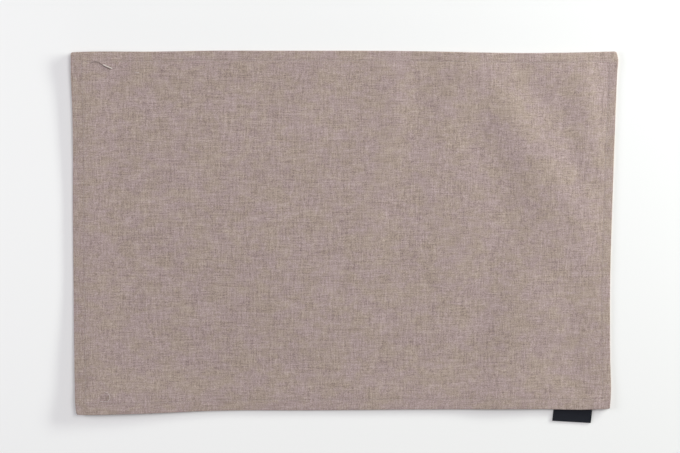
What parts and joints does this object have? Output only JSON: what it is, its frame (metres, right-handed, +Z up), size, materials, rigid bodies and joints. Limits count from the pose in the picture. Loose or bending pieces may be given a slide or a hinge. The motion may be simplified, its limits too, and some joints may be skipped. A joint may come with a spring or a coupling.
{
  "type": "fabric placemat",
  "caption": "Rectangular woven cloth placemat with a sewn double-fold hem and a small folded ribbon label, lying flat with a few soft folds.",
  "frame": {"origin": "centre of the cloth, on its underside, at the surface it lies on", "axes": "+X along the long sides, towards the end nearest the label; +Y towards the long side without the label; +Z up, out of the cloth's face"},
  "size_m": [0.4513, 0.3143, 0.0053],
  "materials": {
    "linen_look": "matt plain weave of mottled taupe, mauve and beige yarns with small slubs",
    "black_ribbon": "plain woven black ribbon with a slight sheen"
  },
  "bodies": {
    "root": {"cloth": "linen_look", "label": "black_ribbon"}
  },
  "joints": []
}
